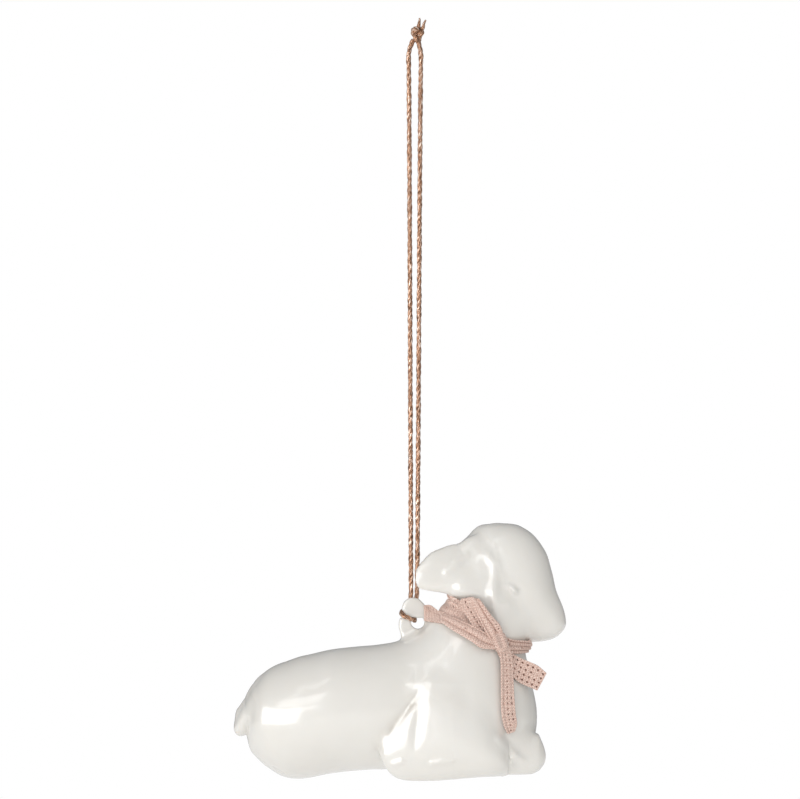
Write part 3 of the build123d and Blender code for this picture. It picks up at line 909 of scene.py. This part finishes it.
grid_low, near_half = near_half_grid()
both_halves = np.concatenate([near_half, near_half[:, -2::-1]], axis=1)
skin_points, skin_faces = surface_net(both_halves, grid_low, GRID)
for _ in range(PULLS):
    value, crease, grade = slopes(skin_points)
    move = value / np.maximum((grade**2).sum(1), LEAST_GRADE)
    skin_points = skin_points - np.clip(move, -PULL_LIMIT, PULL_LIMIT)[:, None] * grade
lamb = mesh_object("porcelain_lamb", skin_points, skin_faces, glaze)
write_attribute(lamb, "crevice_shade", POOLED_SHADE_SHARE * crease)
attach(lamb, "figure")
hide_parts("body_casting", "head_casting", "ear_near", "ear_far", "hanging_eyelet")


# Ribbon: an openwork knit whose stretches lie on the glaze along the photograph's edges

HOLE_PITCH, HEM = 1.1, 0.25
COLUMNS = 4
# Mesh cells in each pitch, of which the middle one may be open
PARTS = 3
RIBBON_THICK, BACKING = 0.42, 0.36
RIBBON_WIDTH = COLUMNS * HOLE_PITCH + 2 * HEM
WALE_HEIGHT = 0.07
COURSE_HEIGHT, COURSE_PITCH = 0.04, 0.55
# The way to the glaze: steps, their share of the distance, the longest, near enough, none
STEPS, STEP_SHARE, LONGEST_STEP, ON_GLAZE, NO_GLAZE = 34, 0.8, 1.4, 0.15, -9.0
chance = np.random.default_rng(7)


def near_reach(x, z):
    """How far the porcelain reaches toward the bow's side."""
    y = np.full(x.shape, GRID_LOW[1])
    for _ in range(STEPS):
        y = y + np.clip(STEP_SHARE * porcelain(x, y, z)[0], 0.0, LONGEST_STEP)
    return np.where((y < 0) & (porcelain(x, y, z)[0] < ON_GLAZE), -y, NO_GLAZE)


def across_ribbon():
    """The mesh lines' places across the flat ribbon."""
    inner = HEM + HOLE_PITCH / PARTS * np.arange(PARTS * COLUMNS + 1)
    return np.concatenate([[0.0], inner, [RIBBON_WIDTH]])


def wales(u):
    """The low lengthwise ridges between the columns of holes."""
    return WALE_HEIGHT * np.cos(2 * pi * (u - HEM) / HOLE_PITCH)


def flat(u):
    """A stretch that lies open."""
    return u, 0 * u


def pleated(count, depth, phase=0.0):
    """A stretch drawn together in lengthwise pleats."""
    return lambda u: (u, depth * np.cos(2 * pi * (count * u + phase)))


def rolled(u):
    """A stretch whose left edge is rolled under, with a lip and a valley along it."""
    under, under_depth = 0.24, 0.55
    lip, lip_height, lip_width = 0.29, 0.30, 0.07
    valley, valley_depth, valley_width = 0.42, 0.25, 0.06
    place = np.where(u < under, 0.5 * (1 - u / under), (u - under) / (1 - under))
    hidden = -under_depth * np.sqrt(np.clip(1 - u / under, 0, 1))
    seen = lip_height * np.exp(-(((u - lip) / lip_width) ** 2))
    lift = np.where(u < under, hidden, seen)
    return place, lift - valley_depth * np.exp(-(((u - valley) / valley_width) ** 2))


def backed(stretch):
    """A stretch with the closed back layer that its holes show, flagged 1.0 so that it is coloured dark
    as painted shade.
    """
    grid, at, u, _ = stretch
    return [stretch, (grid + (0.0, BACKING, 0.0), at, u, 1.0)]


def relaxed(reach):
    """Reaches evened out with their neighbours."""
    for _ in range(8):
        padded = np.pad(reach, 1, mode="edge")
        beside = padded[:-2, 1:-1] + padded[2:, 1:-1] + padded[1:-1, :-2] + padded[1:-1, 2:]
        reach = (beside + 2 * reach) / 6
    return reach


def knit_grid(rungs, fold):
    """A stretch's points between rungs, its places along and across, and its layer, whose flag 0.0 means
    no painted shade.
    """
    rungs = np.array(rungs, float)
    dense = monotone(np.arange(len(rungs), dtype=float), rungs)[1]
    middle_x = dense[:, [0, 2]].mean(1) * PIXEL
    middle_z = dense[:, [1, 3]].mean(1) * PIXEL
    along = lengths_along(np.stack([middle_x, middle_z, dense[:, 4]], axis=1))
    cells = max(2, round(along[-1] / HOLE_PITCH))
    at = np.linspace(0, along[-1], PARTS * cells + 1)
    rows = np.stack([np.interp(at, along, dense[:, k]) for k in range(6)], axis=1)
    u = across_ribbon()
    place, raised = fold(u / RIBBON_WIDTH)
    x = photo_x(rows[:, :1] + (rows[:, 2:3] - rows[:, :1]) * place)
    z = photo_z(rows[:, 1:2] + (rows[:, 3:4] - rows[:, 1:2]) * place)
    skin = near_reach(x, z)
    reach = relaxed(np.maximum(skin + rows[:, 4:5], rows[:, 5:6]))
    courses = COURSE_HEIGHT * np.cos(2 * pi * at / COURSE_PITCH)
    reach = reach + raised + (wales(u)[None] + courses[:, None])
    reach = np.maximum(reach, skin + 0.5 * RIBBON_THICK + BACKING + 0.06)
    return np.stack([x, -reach, z], axis=-1), at, u, 0.0


def wear(made, node):
    """Puts a piece of the ribbon on the figure in place of its node."""
    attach(made, "figure")
    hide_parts(node)


def knit_object(name, grids, node, open_shares):
    """The ribbon's grids as one mesh, with holes, thickened and smoothed."""
    points, faces, uv, shade_flags, count = [], [], [], [], 0
    for (grid, at, u, depth), shares in zip(grids, open_shares):
        rows, columns = grid.shape[:2]
        is_open = chance.random((rows // PARTS, COLUMNS)) < np.array(shares)
        for i in range(rows - 1):
            for j in range(columns - 1):
                between_hems = 0 < j < columns - 2
                middle = between_hems and i % PARTS == 1 and j % PARTS == 2
                if middle and is_open[i // PARTS, j // PARTS]:
                    continue
                a = count + i * columns + j
                faces.append((a, a + 1, a + columns + 1, a + columns))
        points.append(grid.reshape(-1, 3))
        uv.append(np.stack(np.broadcast_arrays(u[None, :], at[:, None]), axis=-1).reshape(-1, 2))
        shade_flags.append(np.full(rows * columns, depth))
        count += rows * columns
    made = mesh_object(name, np.concatenate(points), faces, knit, np.concatenate(uv))
    # The back layers carry a flag that the material paints dark as shade.
    write_attribute(made, "inner", np.concatenate(shade_flags))
    thicken = made.modifiers.new("thickness", "SOLIDIFY")
    thicken.thickness = RIBBON_THICK * MM
    thicken.offset = 0.0
    smooth = made.modifiers.new("smooth", "SUBSURF")
    smooth.levels = smooth.render_levels = 1
    wear(made, node)


COLLAR_SEAM = np.array([NECK_START[0], 0.0, NECK_START[1]])
COLLAR_FRONT, COLLAR_SIDE, COLLAR_BEHIND, COLLAR_CELLS = 8.9, 8.6, -9.5, 48
COLLAR_HALF, COLLAR_DIP, COLLAR_DIP_TURN = 1.15, 1.9, 0.6
COLLAR_GATHERS, COLLAR_GAP, LEAST_GAP, LONGEST_MOVE = 0.28, 0.5, 0.3, 0.6
KNOT_TURN = radians(67.0)
# The collar's ways: ahead, to the bow's side and up the neck
AHEAD = np.array([cos(NECK_LEAN), 0.0, -sin(NECK_LEAN)])
ASIDE = np.array([0.0, -1.0, 0.0])
UPWARD = np.array([sin(NECK_LEAN), 0.0, cos(NECK_LEAN)])


def collar_start(turn, u):
    """A leaning ring, wider behind and dipped at the knot, and its half widths."""
    from_knot = (turn - KNOT_TURN + pi) % (2 * pi) - pi
    middle = -COLLAR_DIP * np.exp(-((from_knot / COLLAR_DIP_TURN) ** 2))
    half = COLLAR_HALF + COLLAR_HALF * (1 - np.cos(turn)) / 2
    step = middle[:, None] + half[:, None] * (1 - 2 * u / RIBBON_WIDTH)[None]
    points = (
        COLLAR_SEAM
        + COLLAR_FRONT * np.cos(turn)[:, None, None] * AHEAD
        + COLLAR_SIDE * np.sin(turn)[:, None, None] * ASIDE
        + step[..., None] * UPWARD
    )
    return points, half


def collar_grid():
    """The stretch round the neck, from the knot and back, settled on the glaze."""
    turn = KNOT_TURN + np.linspace(0, 2 * pi, PARTS * COLLAR_CELLS + 1)
    at = np.linspace(0, COLLAR_CELLS * HOLE_PITCH, PARTS * COLLAR_CELLS + 1)
    u = across_ribbon()
    points, half = collar_start(turn, u)
    gathers = COLLAR_GATHERS * np.cos(6 * pi * u / RIBBON_WIDTH)
    gap = COLLAR_GAP + gathers[None] * (1.2 - 0.35 * half[:, None]) + wales(u)[None]
    furthest = 9.0 + 0.8 * np.sin(pi * u / RIBBON_WIDTH) + 0.9 * u / RIBBON_WIDTH
    for _ in range(6):
        value, _, grade = slopes(points.reshape(-1, 3))
        grade = grade - (grade @ UPWARD)[:, None] * UPWARD
        off = np.clip(value - np.maximum(gap, LEAST_GAP).ravel(), -LONGEST_MOVE, LONGEST_MOVE)
        move = off / np.maximum((grade**2).sum(1), 0.3)
        points = points - (move[:, None] * grade).reshape(points.shape)
        reach = (points - COLLAR_SEAM) @ AHEAD
        points = points - (reach - np.clip(reach, COLLAR_BEHIND, furthest))[..., None] * AHEAD
    return points, at, u, 0.0


# Rungs across the ribbon: the photograph's left and right pixel, lift off the glaze, least reach

LOOP_BACK_UNDER = [
    (486, 632, 482, 645, 0.9, 0),
    (470, 623, 467, 637.5, 0.9, 0),
    (456, 613.5, 452, 629.5, 0.9, 0),
    (440, 611, 441, 622.5, 0.8, 3.4),
    (429.5, 604.5, 431, 621.5, 0.6, 1.9),
    (423.5, 605.5, 424, 621.0, 0.1, 1.0),
]
LOOP_BACK_OVER = [
    (500, 641, 494, 648, 1.3, 0),
    (488, 633.5, 482, 647, 2.0, 0),
    (476, 626.5, 472, 640.5, 2.4, 0),
    (463, 620.5, 461, 634, 2.3, 0),
    (452, 616, 451, 628, 2.1, 0),
    (443, 613, 443, 622.5, 1.9, 4.6),
    (440.5, 613.5, 440.5, 621, 1.4, 4.0),
    (443, 613.5, 443, 621.5, 0.9, 3.4),
    (452, 616, 451, 626, 0.8, 0),
]
LOOP_UPPER_UNDER = [
    (488, 645, 500, 636, 1.1, 0),
    (475, 629, 489, 623, 1.6, 0),
    (465.5, 614, 481, 609, 1.8, 0),
    (459.5, 603, 475, 600, 1.8, 0),
    (461.5, 598, 473.5, 596.5, 1.4, 0),
    (464, 599, 472, 598.5, 0.7, 0),
]
LOOP_UPPER_OVER = [
    (494, 645, 504, 638, 1.6, 0),
    (485, 630, 500, 625.5, 2.6, 0),
    (478, 615, 491, 615, 2.8, 0),
    (473, 603, 483, 604, 2.6, 0),
    (471.5, 597.5, 478, 598, 2.0, 0),
    (473, 598.5, 477, 599.5, 1.1, 0),
]
TAIL_LONG = [
    (495, 636, 505, 636, 2.0, 0),
    (497.5, 646, 509, 647, 2.5, 0),
    (499, 655, 511.5, 656, 1.9, 0),
    (500, 666, 512.5, 667, 1.4, 0),
    (500, 680, 513, 680, 1.2, 0),
    (500, 696, 513.8, 696, 1.1, 0),
    (500.5, 712, 515, 712, 1.0, 0),
    (503, 725, 516.5, 722, 1.0, 0),
    (507.5, 733, 514, 730.5, 0.9, 0),
]
TAIL_SIDE = [
    (500, 640, 497, 652, 1.3, 0),
    (509, 650.5, 503, 663, 1.2, 0),
    (517, 655.5, 510.5, 674, 1.1, 8.0),
    (527, 660, 518.5, 681.5, 0.9, 7.6),
    (537, 664.5, 528, 686, 0.9, 7.2),
    (546.5, 672.5, 537, 690, 0.9, 6.8),
]

# The last list says which share of each column's holes is open in each layer
CLOSED = (0, 0, 0, 0)
knit_object("knit_collar", [collar_grid()], "ribbon_collar", [(0, 0.1, 0.1, 0)])
loop_back = [knit_grid(LOOP_BACK_UNDER, pleated(1.5, 0.18))]
loop_back += backed(knit_grid(LOOP_BACK_OVER, pleated(2.0, 0.34, 0.25)))
knit_object("knit_loop_back", loop_back, "bow_loop_back", [CLOSED, (0, 0.15, 0.25, 0), CLOSED])
loop_upper = backed(knit_grid(LOOP_UPPER_UNDER, pleated(1.0, 0.18)))
loop_upper += backed(knit_grid(LOOP_UPPER_OVER, pleated(2.0, 0.42, 0.3)))
knit_object(
    "knit_loop_upper",
    loop_upper,
    "bow_loop_upper",
    [(0, 0.95, 0.2, 0), CLOSED, (0, 0.1, 0.2, 0.9), CLOSED],
)
tail_long = backed(knit_grid(TAIL_LONG, rolled))
knit_object("knit_tail_long", tail_long, "bow_tail_long", [(0, 0.1, 1, 0.2), CLOSED])
tail_side = backed(knit_grid(TAIL_SIDE, flat))
knit_object("knit_tail_side", tail_side, "bow_tail_side", [(0.95, 0.95, 0.95, 0.9), CLOSED])

# The bow's knot: its middle, lift off the glaze, ways down and across, half sizes
WRAP_X, WRAP_Z, WRAP_LIFT = photo_x(499.5), photo_z(641.0), 1.9
WRAP_DOWN, WRAP_ACROSS = np.array([0.34, 0.0, -0.94]), np.array([0.94, 0.0, 0.34])
WRAP_LONG, WRAP_WIDE, WRAP_DEEP = 2.3, 1.5, 1.35
WRAP_ROWS, WRAP_COLUMNS = 28, 48
WRAP_BOXY = 0.85


def bow_knot_point(tilt, turn):
    """A place on the pleated knot, from its middle, and its texture coordinates."""
    out = np.array([-cos(tilt), sin(tilt) * cos(turn), sin(tilt) * sin(turn)])
    out = np.sign(out) * np.abs(out) ** WRAP_BOXY
    ridge = 1 + 0.12 * cos(7.0 * out[1] + 0.6) * sin(tilt)
    across = WRAP_WIDE * ridge * out[1] * WRAP_ACROSS
    near = np.array([0, -WRAP_DEEP * ridge * out[2], 0])
    return WRAP_LONG * out[0] * WRAP_DOWN + across + near, (1.9 * out[1] + 2.0, 2.4 * out[0] + 3.0)


def knit_knot():
    """The bow's knot, a rounded wrap with pleats toward the long tail."""
    reach = near_reach(np.array([WRAP_X]), np.array([WRAP_Z]))[0] + WRAP_LIFT
    points, uv, faces = [], [], []
    for i in range(WRAP_ROWS + 1):
        for j in range(WRAP_COLUMNS):
            point, place = bow_knot_point(pi * i / WRAP_ROWS, 2 * pi * j / WRAP_COLUMNS)
            points.append(point + (WRAP_X, -reach, WRAP_Z))
            uv.append(place)
    for i in range(WRAP_ROWS):
        for j in range(WRAP_COLUMNS):
            a = i * WRAP_COLUMNS + j
            b = i * WRAP_COLUMNS + (j + 1) % WRAP_COLUMNS
            faces.append((a, a + WRAP_COLUMNS, b + WRAP_COLUMNS, b))
    wear(mesh_object("knit_knot", points, faces, knit, uv), "bow_knot")


knit_knot()


# Stage: a pale floor far below, a bright surround and soft lights

FLOOR_HALF, FLOOR_Z = 3000.0, -330.0
FLOOR_COLOUR, FLOOR_GLOW = (0.8, 0.79, 0.77, 1.0), 0.35
ROOM_LEVEL = 0.64
ROOM_SLOPE = (-0.12, -0.34, -0.16)
ROOM_REFLECTED = (0.30, 0.30, 0.30, 1.0)
MIDDLE = np.array((0.0, 0.0, -120.0))
NEAR_LIGHT, FAR_LIGHT = 900, 1200


def pale_floor():
    """A wide pale floor, plain white to the camera."""
    material, tree, shader, add = new_material("pale_floor")
    feed(shader, {
        "Base Color": FLOOR_COLOUR,
        "Roughness": 0.9,
        "Emission Color": WHITE,
        "Emission Strength": FLOOR_GLOW,
    })
    seen = add("LightPath").outputs["Is Camera Ray"]
    white = add("Emission", {"Color": WHITE, "Strength": 1.0}).outputs["Emission"]
    either = add("MixShader", {0: seen, 1: shader.outputs["BSDF"], 2: white})
    feed(tree.nodes["Material Output"], {"Surface": either.outputs["Shader"]})
    sides = ((-1, -1), (1, -1), (1, 1), (-1, 1))
    corners = [(x * FLOOR_HALF, y * FLOOR_HALF, FLOOR_Z) for x, y in sides]
    floor = mesh_object("floor", corners, [(0, 1, 2, 3)], material)


def surround():
    """White to the camera, brighter in front and below, grey in reflections."""
    world = bpy.data.worlds.new("room")
    scene.world = world
    world.use_nodes = True
    tree = world.node_tree
    add = node_adder(tree)
    ray = add("LightPath").outputs
    way = add("TexCoord").outputs["Generated"]
    slope = add("VectorMath", {0: way, 1: ROOM_SLOPE}, operation="DOT_PRODUCT")
    level = add("Math", {0: slope.outputs["Value"], 1: ROOM_LEVEL}, operation="ADD")
    lit = mixed(add, ray["Is Glossy Ray"], level.outputs["Value"], ROOM_REFLECTED)
    feed(tree.nodes["Background"], {"Color": mixed(add, ray["Is Camera Ray"], lit, WHITE)})


def panel(name, sides, heights, distance, radiance, glossy=True):
    """A soft light that fills degrees left of the camera and above it."""
    turn, rise = radians(sum(sides) / 2), radians(sum(heights) / 2)
    way = np.array([-sin(turn) * cos(rise), -cos(turn) * cos(rise), sin(rise)])
    width = 2 * distance * tan(radians(sides[0] - sides[1]) / 2) * cos(rise)
    height = 2 * distance * tan(radians(heights[1] - heights[0]) / 2)
    light = bpy.data.lights.new(name, "AREA")
    light.shape = "RECTANGLE"
    light.size, light.size_y = width * MM, height * MM
    light.energy = radiance * pi * width * height * MM * MM
    made = bpy.data.objects.new(name, light)
    made.location = Vector(MIDDLE + way * distance) * MM
    made.rotation_euler = (Vector(MIDDLE) * MM - made.location).to_track_quat("-Z", "Y").to_euler()
    made.visible_camera = False
    made.visible_glossy = glossy
    made.visible_diffuse = not glossy
    scene.collection.objects.link(made)


pale_floor()
surround()
panel("bank_near", (84, 17), (-10, 22), NEAR_LIGHT, 4.4)
panel("bank_top", (38, 17), (22.5, 38), NEAR_LIGHT, 2.6)
panel("pole", (38, 31), (38.5, 66), NEAR_LIGHT, 1.8)
panel("key", (62, -5), (-10, 44), FAR_LIGHT, 0.90, glossy=False)

scene.view_settings.view_transform = "Standard"
